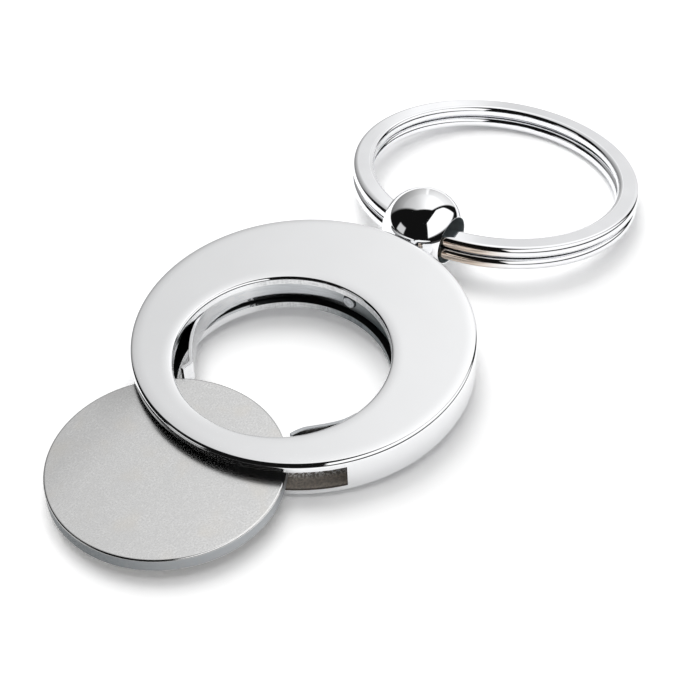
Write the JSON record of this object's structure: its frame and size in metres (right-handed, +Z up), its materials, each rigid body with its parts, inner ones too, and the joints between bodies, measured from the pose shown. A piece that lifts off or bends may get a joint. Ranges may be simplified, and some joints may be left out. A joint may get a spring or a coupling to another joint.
{
  "type": "metal keychain",
  "caption": "Flat round metal keychain with a loose token in a sprung slot, a swivelling ball on its rim and a split ring for keys.",
  "frame": {"origin": "on the floor, under the middle of the whole object's box as it lies in the picture", "axes": "+X from the token to the split ring, +Y across the slot, +Z up"},
  "size_m": [0.0861, 0.0356, 0.0094],
  "materials": {
    "polished_casing": "polished plate",
    "spring_steel": "bright rolled strip",
    "pin_steel": "turned",
    "satin_token": "fine matt blast",
    "polished_ball": "polished plate",
    "polished_ring": "polished plate"
  },
  "bodies": {
    "casing_body": {"casing": "polished_casing", "clip_spring": "spring_steel", "swivel_pin": "pin_steel"},
    "token_body": {"token": "satin_token"},
    "ball_body": {"ball": "polished_ball"},
    "ring_body": {"split_ring": "polished_ring"}
  },
  "joints": [
    {"name": "token_slide", "type": "slide", "parent": "casing_body", "child": "token_body", "axis": [0.9951, -0.0793, 0.0594], "range_m": [-0.0095, 0.0165], "deforming": ["clip_spring"]},
    {"name": "ball_swivel", "type": "hinge", "parent": "casing_body", "child": "ball_body", "pos_m": [0.01135, 0, 0.00468], "axis": [0.9982, 0, 0.0596], "continuous": true},
    {"name": "ring_swing", "type": "hinge", "parent": "ball_body", "child": "ring_body", "pos_m": [0.01135, 0, 0.00468], "axis": [0, -1, 0], "range_deg": [-130, 148]}
  ]
}
